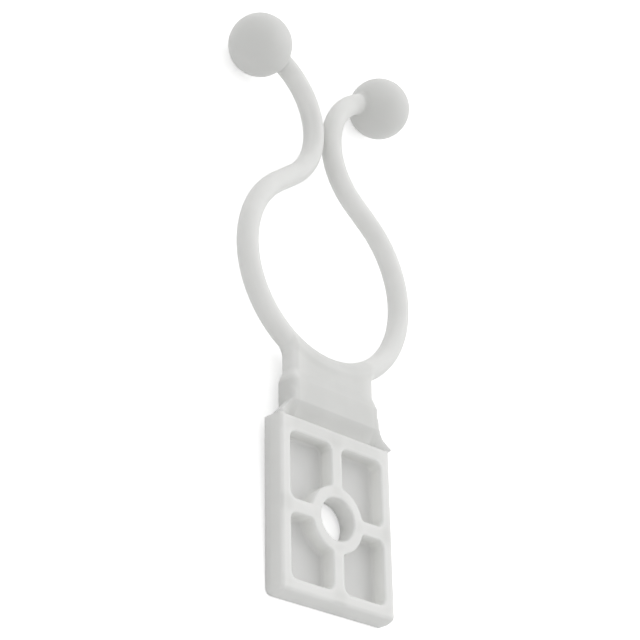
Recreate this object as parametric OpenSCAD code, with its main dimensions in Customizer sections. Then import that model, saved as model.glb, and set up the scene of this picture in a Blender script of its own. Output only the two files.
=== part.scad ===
// Twist lock cable clip, moulded in one piece.
// A cored mounting plate with a screw hole carries a short neck and an open
// round loop. The loop ends in two springy horns with ball grips, which are
// twisted round each other to lock a bundle of cables in the loop.
// Lengths are in millimetres. The back of the plate lies on Z = 0 and the
// screw hole stands at the origin. The loop lies along +Y.

/* [Mounting plate] */
// Width of the plate across the clip
plate_w = 15.2; // [13.6:0.1:17]
// Length of the plate along the clip
plate_l = 17.7; // [15:0.1:21]
// Distance from the screw hole to the plate's free end
hole_to_end = 8.7; // [7.5:0.1:9.5]
// Thickness of the plate
plate_t = 2.1; // [2:0.1:2.8]
// Radius of the two free corners, seen from the front
corner_r = 0.7; // [0.4:0.1:1.2]
// Radius along the front edges
edge_r = 0.6; // [0.3:0.1:0.9]

/* [Screw boss] */
// Diameter of the screw hole
hole_d = 4.3; // [3.2:0.1:4.5]
// Wall of the boss round the hole
boss_wall = 1.2; // [0.9:0.1:1.5]

/* [Coring] */
// Width of the rim at the sides and the free end
rim_w = 1.5; // [1.1:0.1:2]
// Width of the rim at the neck
rim_neck_w = 1.5; // [1.1:0.1:2.2]
// Width of the two crossing ribs
rib_w = 1.4; // [0.9:0.1:1.8]
// Thickness of the web at the bottom of the pockets
web_t = 0.4; // [0.3:0.1:0.8]
// Corner radius of the pockets
pocket_r = 0.8; // [0.3:0.1:1]

/* [Neck] */
// Width of the neck where it meets the loop
neck_w = 10.9; // [8.5:0.1:11.2]
// Length of the neck from the plate to the outside of the loop
neck_l = 6; // [5.8:0.1:9]
// Skin left off the neck's two faces, so that the round loop stands proud
neck_skin = 0.1; // [0.05:0.05:0.2]
// Step by which the collar is wider than the neck on each side
collar_step = 0.4; // [0.15:0.05:0.5]
// Height by which the collar stands out in front of the plate
collar_rise = 0.3; // [0.15:0.05:0.5]
// Length of the collar between its shoulder and the flare
collar_l = 2.2; // [1.5:0.1:2.6]
// Length of the sloping shoulder between the neck and the collar
shoulder_l = 1.2; // [0.5:0.1:1.5]
// Length of the flare between the collar and the plate
flare_l = 1.85; // [1:0.05:2.2]
// Depth by which the foot of the flare is undercut below the plate's front
flare_undercut = 0.9; // [0.2:0.1:1]

/* [Loop and horns] */
// Diameter of the round stock of the loop
rod_d = 2.2; // [1.8:0.1:2.6]
// Inside diameter of the loop
loop_d = 19; // [16:0.5:24]
// Angle from the foot of the loop to where each side runs straight
loop_angle = 142; // [136:1:146]
// Radius of the outward bend of each horn, to the centre of the stock
horn_r = 7.8; // [6.5:0.1:9]
// Angle through which each horn bends outwards
horn_angle = 140; // [125:1:150]
// Gap between the two sides where they come closest
mouth_gap = 0.4; // [0.2:0.1:1]
// Diameter of the ball grips
ball_d = 6.7; // [5:0.1:8]

/* [Hidden] */
$fn = 96;
// Overlap that lets one shape run into its neighbour or past a face
lap = 0.5;

mid_z = plate_t / 2;
plate_end_y = -hole_to_end;
plate_top_y = plate_l - hole_to_end;
plate_mid_y = (plate_top_y + plate_end_y) / 2;
boss_d = hole_d + 2 * boss_wall;
rod_r = rod_d / 2;
loop_r = loop_d / 2 + rod_r;
loop_y = plate_top_y + neck_l + rod_r + loop_r;

flare_top_y = plate_top_y + flare_l;
collar_top_y = flare_top_y + collar_l;
collar_w = neck_w + 2 * collar_step;
shoulder_y = collar_top_y + shoulder_l;
neck_front_z = mid_z + rod_r - neck_skin;
neck_back_z = mid_z - rod_r + neck_skin;
collar_front_z = plate_t + collar_rise;

// Direction, seen from the loop's centre, in which each side leaves the circle
leave_a = loop_angle - 90;
// Straight run that brings the horns to the mouth gap
horn_run = ((loop_r + horn_r) * cos(leave_a) - horn_r - rod_r - mouth_gap / 2) / sin(leave_a);

// The straight run is thinner than the bends by this step, and runs this far
// into the end of each, so that all three meet in plain circles
run_step = 0.02;
run_lap = 0.3;

// Corner waste between a square corner at the origin and its round of radius r,
// for a part that lies in the quarter x < 0, y < 0
module corner_waste(r) {
    difference() {
        translate([-r, -r]) square(r + lap);
        translate([-r, -r]) circle(r);
    }
}

// Rectangle of size w by l about the origin, whose corners in the list
// of [x side, y side, radius] are rounded
module rounded_sheet(w, l, corners) {
    difference() {
        square([w, l], center = true);
        for (c = corners)
            translate([c[0] * w / 2, c[1] * l / 2])
                rotate(atan2(c[1], c[0]) - 45)
                    corner_waste(c[2]);
    }
}

// Outer form of the plate: the plan with two round free corners, kept inside
// two rounded sections that give its soft front edges
module plate_blank() {
    intersection() {
        translate([0, plate_mid_y, 0])
            linear_extrude(plate_t)
                rounded_sheet(plate_w, plate_l, [[-1, -1, corner_r], [1, -1, corner_r]]);
        translate([0, plate_top_y + lap, plate_t / 2])
            rotate([90, 0, 0])
                linear_extrude(plate_l + 2 * lap)
                    rounded_sheet(plate_w, plate_t, [[-1, 1, edge_r], [1, 1, edge_r]]);
        translate([-plate_w / 2 - lap, plate_mid_y, plate_t / 2])
            rotate([90, 0, 90])
                linear_extrude(plate_w + 2 * lap)
                    rounded_sheet(plate_l, plate_t, [[-1, 1, edge_r]]);
    }
}

// One of the four pockets, in the quarter given by the signs sx and sy
module pocket(sx, sy) {
    w = plate_w / 2 - rim_w - rib_w / 2;
    l = (sy > 0 ? plate_top_y - rim_neck_w : hole_to_end - rim_w) - rib_w / 2;
    corners = [[sx, sy, pocket_r], [-sx, sy, pocket_r], [sx, -sy, pocket_r]];
    translate([0, 0, web_t])
        linear_extrude(plate_t)
            difference() {
                translate([sx * (rib_w + w) / 2, sy * (rib_w + l) / 2])
                    rounded_sheet(w, l, corners);
                circle(d = boss_d);
            }
}

module plate() {
    difference() {
        plate_blank();
        for (sx = [-1, 1], sy = [-1, 1]) pocket(sx, sy);
        translate([0, 0, -lap]) cylinder(d = hole_d, h = plate_t + 2 * lap);
    }
}

// Plan of the neck below the loop, with its collar and the flare to the plate
module neck_plan() {
    difference() {
        polygon([
            [-neck_w / 2, loop_y],
            [-neck_w / 2, shoulder_y],
            [-collar_w / 2, collar_top_y],
            [-collar_w / 2, plate_top_y - lap],
            [collar_w / 2, plate_top_y - lap],
            [collar_w / 2, collar_top_y],
            [neck_w / 2, shoulder_y],
            [neck_w / 2, loop_y]
        ]);
        translate([0, loop_y]) circle(loop_r);
    }
}

// Side section of the neck as [length, height], with the undercut at its foot
module neck_section() {
    foot_z = plate_t - flare_undercut;
    polygon([
        [plate_top_y - lap, neck_back_z],
        [loop_y, neck_back_z],
        [loop_y, neck_front_z],
        [shoulder_y, neck_front_z],
        [collar_top_y, collar_front_z],
        [flare_top_y, collar_front_z],
        [plate_top_y, foot_z],
        [plate_top_y - lap, foot_z - lap]
    ]);
}

// Wedge in front of the parting line that widens the collar to the plate
module flare_plan() {
    polygon([
        [-collar_w / 2 + lap, flare_top_y],
        [-collar_w / 2, flare_top_y],
        [-plate_w / 2, plate_top_y],
        [plate_w / 2, plate_top_y],
        [collar_w / 2, flare_top_y],
        [collar_w / 2 - lap, flare_top_y]
    ]);
}

// Section turned so that its length runs along the clip, over a width w
module across(w) {
    translate([-w / 2, 0, 0])
        rotate([90, 0, 90])
            linear_extrude(w)
                children();
}

module neck() {
    intersection() {
        linear_extrude(collar_front_z + lap) neck_plan();
        across(plate_w) neck_section();
        translate([0, loop_y, collar_front_z / 2])
            rotate([90, 0, 0])
                linear_extrude(loop_y)
                    rounded_sheet(collar_w, collar_front_z, [[-1, 1, edge_r], [1, 1, edge_r]]);
    }
    intersection() {
        translate([0, 0, mid_z]) linear_extrude(collar_front_z) flare_plan();
        across(plate_w + 2 * lap) neck_section();
    }
}

// Round stock bent to radius r about the origin, from angle a0 to angle a1
module bend(r, a0, a1) {
    rotate([0, 0, a0])
        rotate_extrude(angle = a1 - a0)
            translate([r, 0]) circle(rod_r);
}

// One side above the round of the loop: the straight run, the outward bend and
// the ball grip, turned about the loop's centre to where the side leaves the round
module horn() {
    translate([0, loop_y, mid_z])
        rotate([0, 0, leave_a]) {
            translate([loop_r, -run_lap, 0])
                rotate([-90, 0, 0])
                    cylinder(r = rod_r - run_step, h = horn_run + 2 * run_lap);
            translate([loop_r + horn_r, horn_run, 0]) {
                bend(horn_r, 180 - horn_angle, 180);
                rotate([0, 0, 180 - horn_angle])
                    translate([horn_r, 0, 0])
                        sphere(d = ball_d);
            }
        }
}

module loop() {
    translate([0, loop_y, mid_z]) bend(loop_r, -90 - loop_angle, leave_a);
    horn();
    mirror([1, 0, 0]) horn();
}

module clip() {
    color("#e6e6e2") {
        plate();
        neck();
        loop();
    }
}

clip();
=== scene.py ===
# %% [markdown]
# # A twist lock cable clip, dressed for its portrait
#
# The clip is one small moulding in natural nylon. A cored plate takes a screw, a
# short neck stands on it, and a round loop ends in two horns with ball grips.
# The solid model is loaded first and stays as it is. The sizes below are its
# sizes, and the new surface lies on it, with the small rounds, the draft and the
# fillets of a moulding.

import math

import bpy
import numpy as np
from mathutils import Matrix


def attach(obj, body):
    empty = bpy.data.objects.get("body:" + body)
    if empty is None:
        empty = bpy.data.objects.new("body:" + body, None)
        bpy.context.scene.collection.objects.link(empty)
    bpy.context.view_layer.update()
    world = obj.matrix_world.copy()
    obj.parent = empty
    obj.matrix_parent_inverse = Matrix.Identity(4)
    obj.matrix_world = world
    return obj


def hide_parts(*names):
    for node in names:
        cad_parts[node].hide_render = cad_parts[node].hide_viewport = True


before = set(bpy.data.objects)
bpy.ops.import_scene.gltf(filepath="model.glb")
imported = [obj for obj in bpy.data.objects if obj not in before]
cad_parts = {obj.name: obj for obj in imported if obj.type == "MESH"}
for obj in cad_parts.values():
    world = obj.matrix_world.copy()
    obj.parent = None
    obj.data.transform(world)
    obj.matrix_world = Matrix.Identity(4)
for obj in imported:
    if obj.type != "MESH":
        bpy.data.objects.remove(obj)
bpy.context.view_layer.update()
MM = 0.001

# %% [markdown]
# ## The camera
#
# The outline in the picture was fitted with a pinhole camera: a long lens,
# placed low on the left, looking down on the cored side of the plate. The fit
# gives the turn and the shift from the clip's frame into the camera's view. The
# camera's axes and place follow from them, and the lens length follows from the
# pixels per unit of slope.

# %% Camera
PICTURE_PX = 640
SENSOR_MM = 36.0
FOCAL_PX = 1895.4


def turn_matrix(rotation_vector):
    """Rotation matrix of an axis-angle vector, by Rodrigues' formula."""
    angle = float(np.linalg.norm(rotation_vector))
    x, y, z = np.asarray(rotation_vector) / angle
    cross = np.array([[0, -z, y], [z, 0, -x], [-y, x, 0]])
    return np.eye(3) + math.sin(angle) * cross + (1 - math.cos(angle)) * cross @ cross


# Turn and shift that carry a point of the clip, in mm, into the camera's view
# (x to the right, y down, z forward).
VIEW_TURN = (2.485194, 0.223395, 1.012577)
VIEW_SHIFT_MM = (0.2889, 19.4957, 180.0935)

view = turn_matrix(VIEW_TURN)
axes = np.diag([1.0, -1.0, -1.0]) @ view
place = -view.T @ np.array(VIEW_SHIFT_MM) * MM

camera_data = bpy.data.cameras.new("portrait_lens")
camera_data.sensor_width = SENSOR_MM
camera_data.lens = FOCAL_PX * SENSOR_MM / PICTURE_PX
camera_data.clip_start = 0.01
camera_data.clip_end = 20.0
camera = bpy.data.objects.new("portrait_camera", camera_data)
bpy.context.scene.collection.objects.link(camera)
pose = np.eye(4)
pose[:3, :3] = axes.T
pose[:3, 3] = place
camera.matrix_world = Matrix(pose.tolist())
bpy.context.scene.camera = camera

print("camera at", place.round(4), "lens", round(camera_data.lens, 1), "mm")
print("camera axes (right, up, back):", axes.round(3).tolist())

# %% [markdown]
# ## The shape of the moulding
#
# A moulded part has no sharp edge: the tool's corners are rounded and every
# joint between two forms has a small fillet. The whole clip is therefore one
# surface, where a distance function is zero. Each form gives a distance, in
# millimetres, that is negative inside it, and forms are joined with a rounded
# minimum or maximum, so that fillets and edge rounds come by themselves.

# %% Sizes in millimetres
PLATE_W, PLATE_L, PLATE_T, HOLE_TO_END = 15.2, 17.7, 2.1, 8.7
# The front 0.85 mm of the plate's outer sides leans in, as a mould's draft does.
CORNER_R, DRAFT_FROM, DRAFT_IN, TOP_EDGE_R = 0.7, 0.85, 0.35, 0.3
HOLE_R, BOSS_WALL = 2.15, 1.2
RIM_W, RIM_NECK_W, RIB_W, WEB_T, POCKET_R = 1.5, 1.5, 1.4, 0.4, 0.8
NECK_W, NECK_L, NECK_SKIN = 10.9, 6.0, 0.03
COLLAR_STEP, COLLAR_RISE, COLLAR_L, SHOULDER_L = 0.4, 0.3, 2.2, 1.2
FLARE_L, FLARE_UNDERCUT = 1.85, 0.9
ROD_R, LOOP_D, LOOP_ANGLE = 1.1, 19.0, 142.0
HORN_R, HORN_ANGLE, MOUTH_GAP, BALL_R = 7.8, 140.0, 0.4, 3.35

MID_Z = PLATE_T / 2
PLATE_TOP = PLATE_L - HOLE_TO_END
LOOP_R = LOOP_D / 2 + ROD_R
LOOP_Y = PLATE_TOP + NECK_L + ROD_R + LOOP_R
LEAVE = math.radians(LOOP_ANGLE - 90)
HORN_RUN = (
    (LOOP_R + HORN_R) * math.cos(LEAVE) - HORN_R - ROD_R - MOUTH_GAP / 2
) / math.sin(LEAVE)

print("loop centre at y", round(LOOP_Y, 2), "mm, straight run", round(HORN_RUN, 2), "mm")

# %% Distance helpers


def round_max(a, b, r):
    """Intersection with a rounded edge: a circle of radius r touches both faces."""
    corner = np.hypot(np.maximum(a + r, 0), np.maximum(b + r, 0))
    return np.minimum(np.maximum(a, b), -r) + corner


def round_min(a, b, r):
    """Union with a fillet of radius r in the corner between the two forms."""
    return -round_max(-a, -b, r)


def ramp(value, low, high):
    """Smooth step: 0 below low, 1 above high."""
    t = np.clip((value - low) / (high - low), 0, 1)
    return t * t * (3 - 2 * t)


def polygon_distance(x, y, corners):
    """Signed distance to a closed polygon: nearest edge, negative inside."""
    nearest = np.full(x.shape, np.inf)
    inside = np.zeros(x.shape, bool)
    for (ax, ay), (bx, by) in zip(corners, corners[1:] + corners[:1]):
        ex, ey = bx - ax, by - ay
        t = np.clip(((x - ax) * ex + (y - ay) * ey) / (ex * ex + ey * ey), 0, 1)
        nearest = np.minimum(nearest, np.hypot(x - ax - t * ex, y - ay - t * ey))
        if ey != 0:
            across = (ay > y) != (by > y)
            inside ^= across & (x < (y - ay) * ex / ey + ax)
    return np.where(inside, -nearest, nearest)


def arc_distance(x, y, centre, radius, start, end):
    """Distance to an arc: to its circle within its angles, else to its ends."""
    dx, dy = x - centre[0], y - centre[1]
    middle, half = (start + end) / 2, (end - start) / 2
    turn = np.mod(np.arctan2(dy, dx) - middle + math.pi, 2 * math.pi) - math.pi
    on_circle = np.abs(np.hypot(dx, dy) - radius)
    ends = [
        np.hypot(dx - radius * math.cos(a), dy - radius * math.sin(a)) for a in (start, end)
    ]
    return np.where(np.abs(turn) <= half, on_circle, np.minimum(*ends))


def segment_distance(x, y, a, b):
    """Distance to a straight run between two points."""
    ex, ey = b[0] - a[0], b[1] - a[1]
    t = np.clip(((x - a[0]) * ex + (y - a[1]) * ey) / (ex * ex + ey * ey), 0, 1)
    return np.hypot(x - a[0] - t * ex, y - a[1] - t * ey)


print("rounded corner check:", round_max(np.array([0.0]), np.array([0.0]), 1.0))

# %% [markdown]
# ## Plate, pockets and boss
#
# The plate is cored, so that its walls cool evenly: four pockets leave a rim, a
# cross of ribs and a round boss for the screw. Their inner corners are rounded,
# and their edges carry the small round that every moulding has. The outer sides
# stand straight up to a parting line and lean in a little from there on.

# %% Plate
# Rounds of the small edges and of the pockets' floors.
TOOL_R, FLOOR_R = 0.16, 0.3


def plate_distance(x, y, z):
    """Slab with round free corners and soft front edges, less pockets and hole."""
    side = round_max(np.abs(x) - PLATE_W / 2, -y - HOLE_TO_END, CORNER_R)
    leaning = side * DRAFT_FROM + (z - PLATE_T + DRAFT_FROM) * DRAFT_IN
    leaning = leaning / math.hypot(DRAFT_FROM, DRAFT_IN)
    slab = round_max(round_max(side, leaning, TOOL_R), z - PLATE_T, TOP_EDGE_R)
    slab = round_max(slab, -z, TOOL_R)
    slab = round_max(slab, y - PLATE_TOP, TOOL_R)
    out = np.hypot(x, y)
    across = np.maximum(RIB_W / 2 - np.abs(x), np.abs(x) - PLATE_W / 2 + RIM_W)
    far = np.where(y > 0, y - PLATE_TOP + RIM_NECK_W, -y - HOLE_TO_END + RIM_W)
    along = np.maximum(RIB_W / 2 - np.abs(y), far)
    pocket = round_max(across, along, POCKET_R)
    pocket = round_max(pocket, HOLE_R + BOSS_WALL - out, FLOOR_R)
    pocket = round_max(pocket, WEB_T - z, FLOOR_R)
    plate = round_max(slab, -pocket, TOOL_R)
    return round_max(plate, HOLE_R - out, TOOL_R)


wall_point = np.array([[HOLE_R], [0.0], [MID_Z]])
print("distance at the hole's wall, mm:", plate_distance(*wall_point))

# %% [markdown]
# ## Neck
#
# The neck is a plain bar. Its plan has a slightly wider collar towards the
# plate, and its side section rises at the collar. From there a wedge spreads it
# to the plate's full width, and its front falls away in an undercut. Towards the
# two tips the undercut fades out, so that they stand as high as the collar. The
# collar's long edges have a smaller round than the neck's.

# %% Neck
FLARE_TOP = PLATE_TOP + FLARE_L
COLLAR_TOP = FLARE_TOP + COLLAR_L
SHOULDER = COLLAR_TOP + SHOULDER_L
NECK_FRONT = MID_Z + ROD_R - NECK_SKIN
NECK_BACK = MID_Z - ROD_R + NECK_SKIN
COLLAR_FRONT = PLATE_T + COLLAR_RISE
COLLAR_W = NECK_W + 2 * COLLAR_STEP

# How far the bar runs into the plate, and where it ends inside the ring.
SUNK = 0.5
NECK_END = LOOP_Y - LOOP_R * 0.8
# Fall of the undercut per millimetre, the distance from the middle at which it
# starts to fade out, and the height of the wedge's back.
FLARE_FALL = (COLLAR_FRONT - PLATE_T + FLARE_UNDERCUT) / FLARE_L
LIP_FROM, LIP_BACK = 5.6, 1.3
# Rounds of the long edges and of the edge above the undercut. The first gives
# way to the second along a line that slants over the shoulder.
COLLAR_EDGE_R, NECK_EDGE_R, CREASE_R = 0.35, 0.6, 0.05
EDGE_SLANT = 0.9
EDGE_CHANGE = (COLLAR_TOP + 0.6, COLLAR_TOP + 1.2)

NECK_PLAN = [
    (NECK_W / 2, NECK_END),
    (NECK_W / 2, SHOULDER),
    (COLLAR_W / 2, COLLAR_TOP),
    (COLLAR_W / 2, PLATE_TOP - SUNK),
    (-COLLAR_W / 2, PLATE_TOP - SUNK),
    (-COLLAR_W / 2, COLLAR_TOP),
    (-NECK_W / 2, SHOULDER),
    (-NECK_W / 2, NECK_END),
]
FLARE_PLAN = [
    (COLLAR_W / 2, FLARE_TOP),
    (PLATE_W / 2, PLATE_TOP),
    (-PLATE_W / 2, PLATE_TOP),
    (-COLLAR_W / 2, FLARE_TOP),
]
SECTION = [
    (PLATE_TOP - SUNK, NECK_BACK),
    (LOOP_Y, NECK_BACK),
    (LOOP_Y, NECK_FRONT),
    (SHOULDER, NECK_FRONT),
    (COLLAR_TOP, COLLAR_FRONT),
    (PLATE_TOP - SUNK, COLLAR_FRONT),
]


def neck_distance(x, y, z):
    """Plan and side section of the neck met with rounded edges, plus the wedge."""
    fall = FLARE_FALL * (1 - ramp(np.abs(x), LIP_FROM, PLATE_W / 2))
    undercut = (z - COLLAR_FRONT + fall * (FLARE_TOP - y)) / np.hypot(1, fall)
    section = round_max(polygon_distance(y, z, SECTION), undercut, CREASE_R)
    plan = polygon_distance(x, y, NECK_PLAN)
    plan = np.maximum(plan, LOOP_R - np.hypot(x, y - LOOP_Y))
    diagonal = ramp(y + EDGE_SLANT * z, *EDGE_CHANGE)
    edge = COLLAR_EDGE_R + (NECK_EDGE_R - COLLAR_EDGE_R) * diagonal
    bar = round_max(plan, section, edge)
    wedge = np.maximum(polygon_distance(x, y, FLARE_PLAN), LIP_BACK - z)
    return round_min(bar, round_max(wedge, section, TOOL_R), TOOL_R)


print("neck from y", PLATE_TOP, "to", round(LOOP_Y - LOOP_R, 2), "mm")

# %% [markdown]
# ## Loop, horns and balls
#
# Each side is round stock along one flat path: an arc round the loop, a short
# straight run and an arc the other way. The two sides are mirror images, so
# the distance is worked out once, for the absolute value of x.

# %% Loop
leave_point = np.array([LOOP_R * math.cos(LEAVE), LOOP_Y + LOOP_R * math.sin(LEAVE)])
heading = np.array([-math.sin(LEAVE), math.cos(LEAVE)])
run_end = leave_point + HORN_RUN * heading
outward = np.array([math.cos(LEAVE), math.sin(LEAVE)])
horn_centre = run_end + HORN_R * outward
horn_start = LEAVE + math.pi
horn_end = horn_start - math.radians(HORN_ANGLE)
ball_centre = horn_centre + HORN_R * np.array([math.cos(horn_end), math.sin(horn_end)])
BALL_FILLET, NECK_FILLET = 0.35, 0.5


def stock_distance(x, y, z):
    """Distance to the flat path, taken out of its plane, less the stock's radius."""
    side = np.abs(x)
    flat = arc_distance(side, y, (0.0, LOOP_Y), LOOP_R, -math.pi / 2, LEAVE)
    flat = np.minimum(flat, segment_distance(side, y, leave_point, run_end))
    flat = np.minimum(
        flat, arc_distance(side, y, horn_centre, HORN_R, horn_end, horn_start)
    )
    return np.hypot(flat, z - MID_Z) - ROD_R


def ball_distance(x, y, z):
    """Sphere at the end of each horn."""
    reach = np.hypot(np.abs(x) - ball_centre[0], y - ball_centre[1])
    return np.hypot(reach, z - MID_Z) - BALL_R


def clip_distance(x, y, z):
    """The whole moulding: plate, neck, stock and balls joined with fillets."""
    body = round_min(plate_distance(x, y, z), neck_distance(x, y, z), TOOL_R)
    loop = round_min(stock_distance(x, y, z), ball_distance(x, y, z), BALL_FILLET)
    return round_min(body, loop, NECK_FILLET)


print("ball centre at", ball_centre.round(2), "horn centre at", horn_centre.round(2))

# %% [markdown]
# ## From the distance to a mesh
#
# The distance is taken on a regular grid. Every grid cell that the surface
# passes through gets one vertex, in the middle of the points where the surface
# cuts the cell's edges, and every grid edge that the surface cuts gets one
# four-sided face between its four cells. Then each vertex slides along the
# slope of the distance until it lies on the true surface.

# %% Grid and surface
STEP, MARGIN = 0.16, 0.4


def surface_mesh(distance, low, high, step):
    """One vertex per cut cell, one face per cut grid edge; whole arrays only."""
    lines = [np.arange(a - MARGIN, b + MARGIN + step, step) for a, b in zip(low, high)]
    value = distance(*np.meshgrid(*lines, indexing="ij"))
    inside = value < 0
    cells = tuple(n - 1 for n in value.shape)
    count = np.zeros(cells, np.int8)
    for i in (0, 1):
        for j in (0, 1):
            for k in (0, 1):
                count += inside[i : i + cells[0], j : j + cells[1], k : k + cells[2]]
    cut = np.argwhere((count > 0) & (count < 8))
    number = np.full(cells, -1)
    number[tuple(cut.T)] = np.arange(len(cut))
    total, hits = np.zeros((len(cut), 3)), np.zeros(len(cut))
    for axis in range(3):
        others = [a for a in range(3) if a != axis]
        for u in (0, 1):
            for v in (0, 1):
                near = cut.copy()
                near[:, others[0]] += u
                near[:, others[1]] += v
                far = near.copy()
                far[:, axis] += 1
                a, b = value[tuple(near.T)], value[tuple(far.T)]
                mask = (a < 0) != (b < 0)
                t = np.where(mask, a / np.where(mask, a - b, 1), 0)
                point = near.astype(float)
                point[:, axis] += t
                total += point * mask[:, None]
                hits += mask
    vertices = total / hits[:, None] * step + [a[0] for a in lines]
    faces = []
    for axis in range(3):
        b, c = [(axis + 1) % 3, (axis + 2) % 3]
        first = [slice(None)] * 3
        second = [slice(None)] * 3
        first[axis], second[axis] = slice(0, -1), slice(1, None)
        change = np.argwhere(inside[tuple(first)] != inside[tuple(second)])
        ring = []
        for db, dc in ((-1, -1), (0, -1), (0, 0), (-1, 0)):
            at = change.copy()
            at[:, b] += db
            at[:, c] += dc
            ring.append(number[tuple(at.T)])
        quads = np.stack(ring, 1)
        leaving = inside[tuple(change.T)]
        quads[~leaving] = quads[~leaving][:, ::-1]
        faces.append(quads)
    return vertices, np.concatenate(faces)


def slope(distance, points, reach=0.01):
    """Gradient of the distance by central differences."""
    rows = []
    for axis in range(3):
        shift = np.zeros(3)
        shift[axis] = reach
        rows.append(
            (distance(*(points + shift).T) - distance(*(points - shift).T)) / (2 * reach)
        )
    return np.stack(rows, 1)


def settle(distance, points, rounds=4, limit=0.08):
    """Moves points along the slope to where the distance is zero."""
    for _ in range(rounds):
        gradient = slope(distance, points)
        size = np.maximum((gradient**2).sum(1), 0.25)
        move = (distance(*points.T) / size)[:, None] * gradient
        length = np.linalg.norm(move, axis=1, keepdims=True)
        points = points - move * np.minimum(1, limit / np.maximum(length, 1e-9))
    return points


low = [-(ball_centre[0] + BALL_R), -HOLE_TO_END, MID_Z - BALL_R]
high = [-low[0], ball_centre[1] + BALL_R, MID_Z + BALL_R]
points, quads = surface_mesh(clip_distance, low, high, STEP)
points = settle(clip_distance, points)
normals = slope(clip_distance, points)
normals /= np.linalg.norm(normals, axis=1, keepdims=True)

print(len(points), "vertices,", len(quads), "four-sided faces")
print("largest distance left, mm:", np.abs(clip_distance(*points.T)).max().round(4))

# %% [markdown]
# ## Plastic behind the surface, for painted light and shade
#
# The colour of the milky plastic is painted by how much of it lies behind each point. A
# thin web or the edge of a rib gets painted light, a lighter tone, as if it passed light
# on. A ball or the collar gets painted shade, a darker tone. The share of plastic under
# each vertex is worked out here and stored with the mesh, and the material reads it.

# %% Share of plastic, for painted light and shade
DEPTHS_MM = (0.4, 0.8, 1.2, 1.8, 2.4, 3.2, 4.0)
SOFT_MM = 0.7


def plastic_behind_for_painted_light(distance, at, outward):
    """Share of the points under the surface, straight in and 45 degrees to each
    of four sides, that lie in the plastic: near 0 on a web, 1 on a thick ball."""
    helper = np.where(np.abs(outward[:, :1]) < 0.7, [[1.0, 0, 0]], [[0, 1.0, 0]])
    side = np.cross(outward, helper)
    side /= np.linalg.norm(side, axis=1, keepdims=True)
    other = np.cross(outward, side)
    share = np.zeros(len(at))
    ways = (0 * side, side, -side, other, -other)
    for way in ways:
        inward = way - outward
        inward = inward / np.linalg.norm(inward, axis=1, keepdims=True)
        for depth in DEPTHS_MM:
            share += np.clip(0.5 - distance(*(at + inward * depth).T) / SOFT_MM, 0, 1)
    return share / (len(ways) * len(DEPTHS_MM))


painted_light_share = plastic_behind_for_painted_light(clip_distance, points, normals)
across, along = np.abs(points[:, 0]), points[:, 1]

# Painted shade on the plate's outer faces: their share is raised as if the rim beside them
# made them thick, so they are painted darker.
OUTER_PAINTED_SHADE_SHARE = 0.68
OUTER_PAINTED_SHADE_BAND = (-0.8, -0.2)
to_outside = np.maximum(across - PLATE_W / 2, -along - HOLE_TO_END)
painted_shade_outside = ramp(to_outside, *OUTER_PAINTED_SHADE_BAND) * (along < PLATE_TOP)
painted_light_share = np.maximum(painted_light_share, OUTER_PAINTED_SHADE_SHARE * painted_shade_outside)

# Painted shade on the collar's sides and the flare's tips, whose share is raised as if they
# were thick, and painted light on the neck's sides, whose share is lowered as if they were
# thin, up to where the neck runs into the ring.
COLLAR_PAINTED_SHADE_SHARE, NECK_PAINTED_LIGHT_SHARE = 0.8, 0.5
SIDE_BAND = (NECK_W / 2 - 0.5, NECK_W / 2 - 0.1)
RING_BAND = (SHOULDER + 1.5, SHOULDER + 3.5)
SHARE_CHANGE = (COLLAR_TOP - 0.5, COLLAR_TOP + 0.8)
painted_light_and_shade_on_neck = ramp(across, *SIDE_BAND) * (along > PLATE_TOP)
painted_light_and_shade_on_neck = painted_light_and_shade_on_neck * (1 - ramp(along, *RING_BAND))
painted_neck_share = COLLAR_PAINTED_SHADE_SHARE + (NECK_PAINTED_LIGHT_SHARE - COLLAR_PAINTED_SHADE_SHARE) * ramp(along, *SHARE_CHANGE)
painted_light_share = painted_light_share + (painted_neck_share - painted_light_share) * painted_light_and_shade_on_neck

print("share of plastic from", painted_light_share.min().round(2), "to", painted_light_share.max().round(2))

# %% Mesh object
clip_mesh = bpy.data.meshes.new("clip_moulding")
clip_mesh.from_pydata((points * MM).tolist(), [], quads.tolist())
clip_mesh.validate()
clip_mesh.shade_smooth()
clip_mesh.normals_split_custom_set_from_vertices(normals.tolist())
# The share stored here carries the painted light and shade.
painted_light_attribute = clip_mesh.attributes.new("plastic_behind_for_painted_light", "FLOAT", "POINT")
painted_light_attribute.data.foreach_set("value", painted_light_share.astype(np.float32))
clip = bpy.data.objects.new("clip_moulding", clip_mesh)
bpy.context.scene.collection.objects.link(clip)
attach(clip, "root")
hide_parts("clip")

print("triangles:", sum(len(p.vertices) - 2 for p in clip_mesh.polygons))

# %% [markdown]
# ## Natural nylon
#
# Uncoloured nylon is milky: light goes a little way in and comes out beside where it
# entered, which softens every shadow. Its colour is painted lighter where little plastic
# lies behind the surface, as painted light, and darker where much lies behind it, as
# painted shade. Faint clouds change the tone a little more. The surface is satin, with the
# fine grain of the tool.

# %% Nylon material


def new_group(name, inputs, outputs):
    """Empty shader group with float or colour sockets."""
    group = bpy.data.node_groups.new(name, "ShaderNodeTree")
    for label, kind, value in inputs:
        socket = group.interface.new_socket(label, in_out="INPUT", socket_type=kind)
        socket.default_value = value
    for label, kind in outputs:
        group.interface.new_socket(label, in_out="OUTPUT", socket_type=kind)
    enter = group.nodes.new("NodeGroupInput")
    leave = group.nodes.new("NodeGroupOutput")
    return group, enter, leave


def add_noise(group, vector, scale, detail):
    """Noise node on Object coordinates, its scale in cycles per metre."""
    noise = group.nodes.new("ShaderNodeTexNoise")
    noise.inputs["Scale"].default_value = scale
    noise.inputs["Detail"].default_value = detail
    group.links.new(vector, noise.inputs["Vector"])
    return noise.outputs["Fac"]


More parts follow.
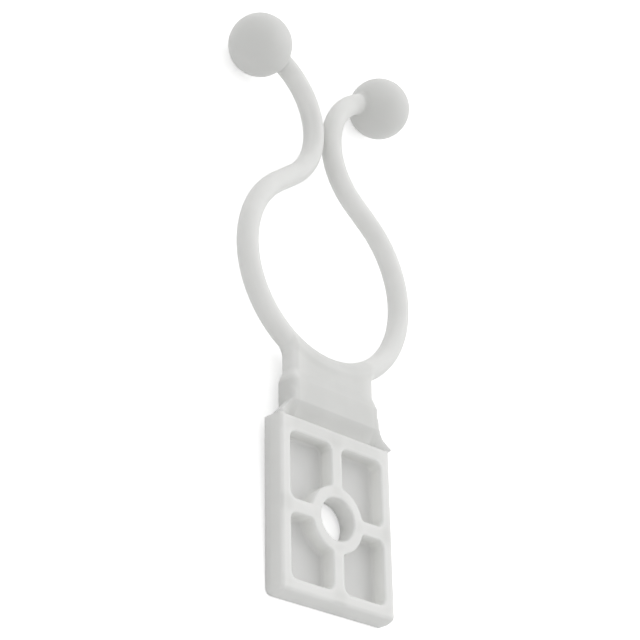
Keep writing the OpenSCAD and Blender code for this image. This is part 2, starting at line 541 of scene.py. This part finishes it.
def span(group, value, low_value, high_value, low=0.3, high=0.7):
    """Map Range node, by default from the noise's usual 0.3 to 0.7."""
    node = group.nodes.new("ShaderNodeMapRange")
    node.inputs["From Min"].default_value = low
    node.inputs["From Max"].default_value = high
    node.inputs["To Min"].default_value = low_value
    node.inputs["To Max"].default_value = high_value
    group.links.new(value, node.inputs["Value"])
    return node.outputs["Result"]


# Shares of plastic at which the colour is fully the painted-light tone and fully the
# painted-shade tone.
THIN_SHARE, DENSE_SHARE = 0.52, 0.76
# Painted light and painted shade: a lighter tone for thin plastic and a darker one for
# thick.
THIN_NYLON_PAINTED_LIGHT = (0.87, 0.872, 0.856, 1)
DENSE_NYLON_PAINTED_SHADE = (0.745, 0.748, 0.732, 1)
CLOUDS_PER_M, SATIN_PER_M, GRAIN_PER_M = 260.0, 900.0, 5200.0
CLOUD_SHIFT = 0.15
ROUGHNESS = (0.40, 0.52)

clouds_and_painted_light, enter, leave = new_group(
    "moulded_clouds_and_painted_light",
    [
        ("Thin_painted_light", "NodeSocketColor", (0, 0, 0, 1)),
        ("Dense_painted_shade", "NodeSocketColor", (1, 1, 1, 1)),
        ("Behind", "NodeSocketFloat", 0.5),
    ],
    [
        ("Color", "NodeSocketColor"),
        ("Roughness", "NodeSocketFloat"),
        ("Height", "NodeSocketFloat"),
    ],
)
coordinates = clouds_and_painted_light.nodes.new("ShaderNodeTexCoord").outputs["Object"]
cloud_noise = add_noise(clouds_and_painted_light, coordinates, CLOUDS_PER_M, 2.0)
soft = span(clouds_and_painted_light, cloud_noise, -CLOUD_SHIFT, CLOUD_SHIFT)
# Painted shade: the more plastic lies behind, the more of the darker tone.
painted_shade_factor = span(clouds_and_painted_light, enter.outputs["Behind"], 0.0, 1.0, THIN_SHARE, DENSE_SHARE)
total = clouds_and_painted_light.nodes.new("ShaderNodeMath")
total.operation = "ADD"
total.use_clamp = True
clouds_and_painted_light.links.new(soft, total.inputs[0])
clouds_and_painted_light.links.new(painted_shade_factor, total.inputs[1])
# Inputs 6 and 7 and output 2 are the mix node's colours.
blend = clouds_and_painted_light.nodes.new("ShaderNodeMix")
blend.data_type = "RGBA"
clouds_and_painted_light.links.new(total.outputs[0], blend.inputs["Factor"])
clouds_and_painted_light.links.new(enter.outputs["Thin_painted_light"], blend.inputs[6])
clouds_and_painted_light.links.new(enter.outputs["Dense_painted_shade"], blend.inputs[7])
clouds_and_painted_light.links.new(blend.outputs[2], leave.inputs["Color"])
satin_noise = add_noise(clouds_and_painted_light, coordinates, SATIN_PER_M, 3.0)
satin = span(clouds_and_painted_light, satin_noise, *ROUGHNESS)
clouds_and_painted_light.links.new(satin, leave.inputs["Roughness"])
grain = add_noise(clouds_and_painted_light, coordinates, GRAIN_PER_M, 3.0)
clouds_and_painted_light.links.new(grain, leave.inputs["Height"])

nylon = bpy.data.materials.new("natural_nylon")
nylon.use_nodes = True
tree = nylon.node_tree
shader = tree.nodes["Principled BSDF"]
shader.inputs["IOR"].default_value = 1.53
shader.inputs["Subsurface Weight"].default_value = 0.6
shader.inputs["Subsurface Radius"].default_value = (0.95, 0.95, 0.95)
shader.inputs["Subsurface Scale"].default_value = 0.0015
shader.inputs["Specular IOR Level"].default_value = 0.35
pattern = tree.nodes.new("ShaderNodeGroup")
pattern.node_tree = clouds_and_painted_light
# The stored share picks between the painted-light and the painted-shade tone.
measure = tree.nodes.new("ShaderNodeAttribute")
measure.attribute_name = "plastic_behind_for_painted_light"
tree.links.new(measure.outputs["Fac"], pattern.inputs["Behind"])
pattern.inputs["Thin_painted_light"].default_value = THIN_NYLON_PAINTED_LIGHT
pattern.inputs["Dense_painted_shade"].default_value = DENSE_NYLON_PAINTED_SHADE
bump = tree.nodes.new("ShaderNodeBump")
bump.inputs["Strength"].default_value = 0.12
bump.inputs["Distance"].default_value = 0.00004
tree.links.new(pattern.outputs["Color"], shader.inputs["Base Color"])
tree.links.new(pattern.outputs["Roughness"], shader.inputs["Roughness"])
tree.links.new(pattern.outputs["Height"], bump.inputs["Height"])
tree.links.new(bump.outputs["Normal"], shader.inputs["Normal"])
clip_mesh.materials.append(nylon)

print("material:", nylon.name)

# %% [markdown]
# ## Floor
#
# The clip is thinner at the plate than at the balls, so on a table it lies on
# the balls and on the free edge of the plate. The floor is drawn in that plane,
# and is a little tilted in the clip's own frame.

# %% Floor
BALL_LOW = MID_Z - BALL_R
tilt = math.atan2(BALL_LOW, ball_centre[1] + HOLE_TO_END)
FLOOR_HALF = 3.0
FLOOR_GAP = 0.02
floor_mesh = bpy.data.meshes.new("floor")
lengthwise = np.array([0, math.cos(tilt), math.sin(tilt)])
touch = np.array([0, -HOLE_TO_END, -FLOOR_GAP]) * MM
sides = [(-1, -1), (1, -1), (1, 1), (-1, 1)]
corners = [
    touch + FLOOR_HALF * (np.array([sx, 0, 0]) + sy * lengthwise) for sx, sy in sides
]
floor_mesh.from_pydata([tuple(c) for c in corners], [], [(0, 1, 2, 3)])
floor = bpy.data.objects.new("floor", floor_mesh)
bpy.context.scene.collection.objects.link(floor)

print("floor tilt, degrees:", round(math.degrees(tilt), 2))

# %% [markdown]
# ## White for the camera
#
# The background is white only for what looks at it. A Light Path switch gives
# the camera, and mirrors and clear things, a brighter floor and world than the
# ones that light the clip, so the white adds no light to it.

# %% White sweep
GLOW = 0.5


def seen_switch(tree):
    """1 for camera, glossy and transmission rays, 0 for the light itself."""
    path = tree.nodes.new("ShaderNodeLightPath")
    first = tree.nodes.new("ShaderNodeMath")
    first.operation = "MAXIMUM"
    tree.links.new(path.outputs["Is Camera Ray"], first.inputs[0])
    tree.links.new(path.outputs["Is Glossy Ray"], first.inputs[1])
    second = tree.nodes.new("ShaderNodeMath")
    second.operation = "MAXIMUM"
    tree.links.new(first.outputs[0], second.inputs[0])
    tree.links.new(path.outputs["Is Transmission Ray"], second.inputs[1])
    return second.outputs[0]


paper = bpy.data.materials.new("white_sweep")
paper.use_nodes = True
tree = paper.node_tree
tree.nodes.remove(tree.nodes["Principled BSDF"])
matt = tree.nodes.new("ShaderNodeBsdfDiffuse")
matt.inputs["Color"].default_value = (0.9, 0.9, 0.9, 1)
glow = tree.nodes.new("ShaderNodeEmission")
glow.inputs["Color"].default_value = (1, 1, 1, 1)
level = tree.nodes.new("ShaderNodeMath")
level.operation = "MULTIPLY"
level.inputs[1].default_value = GLOW
tree.links.new(seen_switch(tree), level.inputs[0])
tree.links.new(level.outputs[0], glow.inputs["Strength"])
both = tree.nodes.new("ShaderNodeAddShader")
tree.links.new(matt.outputs[0], both.inputs[0])
tree.links.new(glow.outputs[0], both.inputs[1])
tree.links.new(both.outputs[0], tree.nodes["Material Output"].inputs["Surface"])
floor_mesh.materials.append(paper)

print("floor material:", paper.name)

# %% [markdown]
# ## Light
#
# The picture was taken in even white light: the side turned to the camera is a
# little darker than the edges, and the light is stronger from the right and
# from above. A pale world gives the even part, and two wide lamps the rest.

# %% World and lamps
WORLD_LEVEL = 0.67
LAMP_TARGET_M = np.array([0.0, 0.022, 0.001])
LAMP_UPWARD = (0.0, 1.0, 0.2)
LAMP_DISTANCE_M, LAMP_SIZE_M = 0.7, 0.7

world = bpy.data.worlds.new("even_light")
world.use_nodes = True
bpy.context.scene.world = world
tree = world.node_tree
background = tree.nodes["Background"]
background.inputs["Color"].default_value = (1, 1, 1, 1)
mix = tree.nodes.new("ShaderNodeMapRange")
mix.inputs["To Min"].default_value = WORLD_LEVEL
mix.inputs["To Max"].default_value = 1.0
tree.links.new(seen_switch(tree), mix.inputs["Value"])
tree.links.new(mix.outputs["Result"], background.inputs["Strength"])


def add_lamp(name, direction, power):
    """Square soft lamp in a direction from the clip's middle, facing it."""
    lamp_data = bpy.data.lights.new(name, "AREA")
    lamp_data.shape = "SQUARE"
    lamp_data.size = LAMP_SIZE_M
    lamp_data.energy = power
    lamp = bpy.data.objects.new(name, lamp_data)
    bpy.context.scene.collection.objects.link(lamp)
    back = np.array(direction, float) / np.linalg.norm(direction)
    right = np.cross(LAMP_UPWARD, back)
    right /= np.linalg.norm(right)
    matrix = np.eye(4)
    matrix[:3, 0], matrix[:3, 1], matrix[:3, 2] = right, np.cross(back, right), back
    matrix[:3, 3] = LAMP_TARGET_M + back * LAMP_DISTANCE_M
    lamp.matrix_world = Matrix(matrix.tolist())


add_lamp("key_right", (0.75, 0.2, 0.65), 1.05)
add_lamp("top_far", (0.1, 0.9, 0.5), 0.7)

print("world level:", WORLD_LEVEL, "lamps:", [lamp.name for lamp in bpy.data.lights])

# %% View settings
bpy.context.scene.view_settings.view_transform = "Standard"
